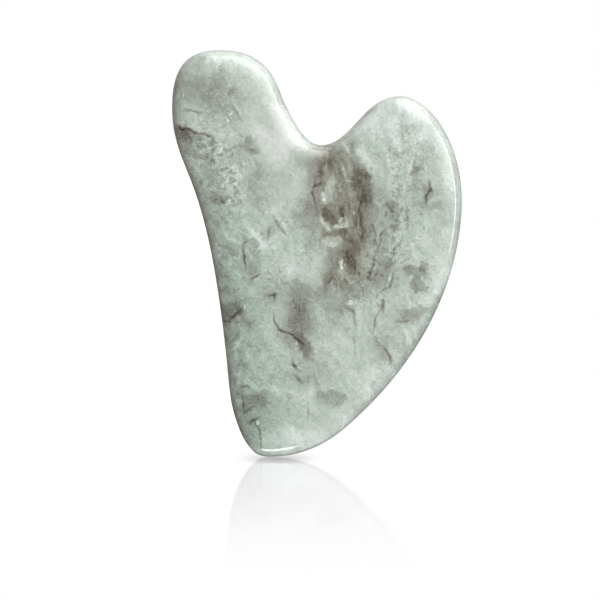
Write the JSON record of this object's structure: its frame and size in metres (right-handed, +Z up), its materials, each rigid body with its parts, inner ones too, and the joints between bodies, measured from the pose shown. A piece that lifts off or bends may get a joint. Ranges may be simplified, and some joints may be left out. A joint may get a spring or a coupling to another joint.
{
  "type": "gua sha scraper",
  "caption": "Heart-shaped hand-held scraping board of polished natural stone, flat on both faces, with a long lobe, a short lobe, a notch between them and a rounded rim.",
  "frame": {"origin": "middle of the board's box at its lowest point, the toe it stands on", "axes": "+Z up from the toe to the top of the long lobe, +X to the short lobe's side, Y through the thickness with the front face towards -Y"},
  "size_m": [0.0568, 0.007, 0.08],
  "materials": {
    "polished_stone": "polished grey-green translucent stone with milky clouds, brown smoky patches and hairline veins"
  },
  "bodies": {
    "root": {"stone_board": "polished_stone"}
  },
  "joints": []
}
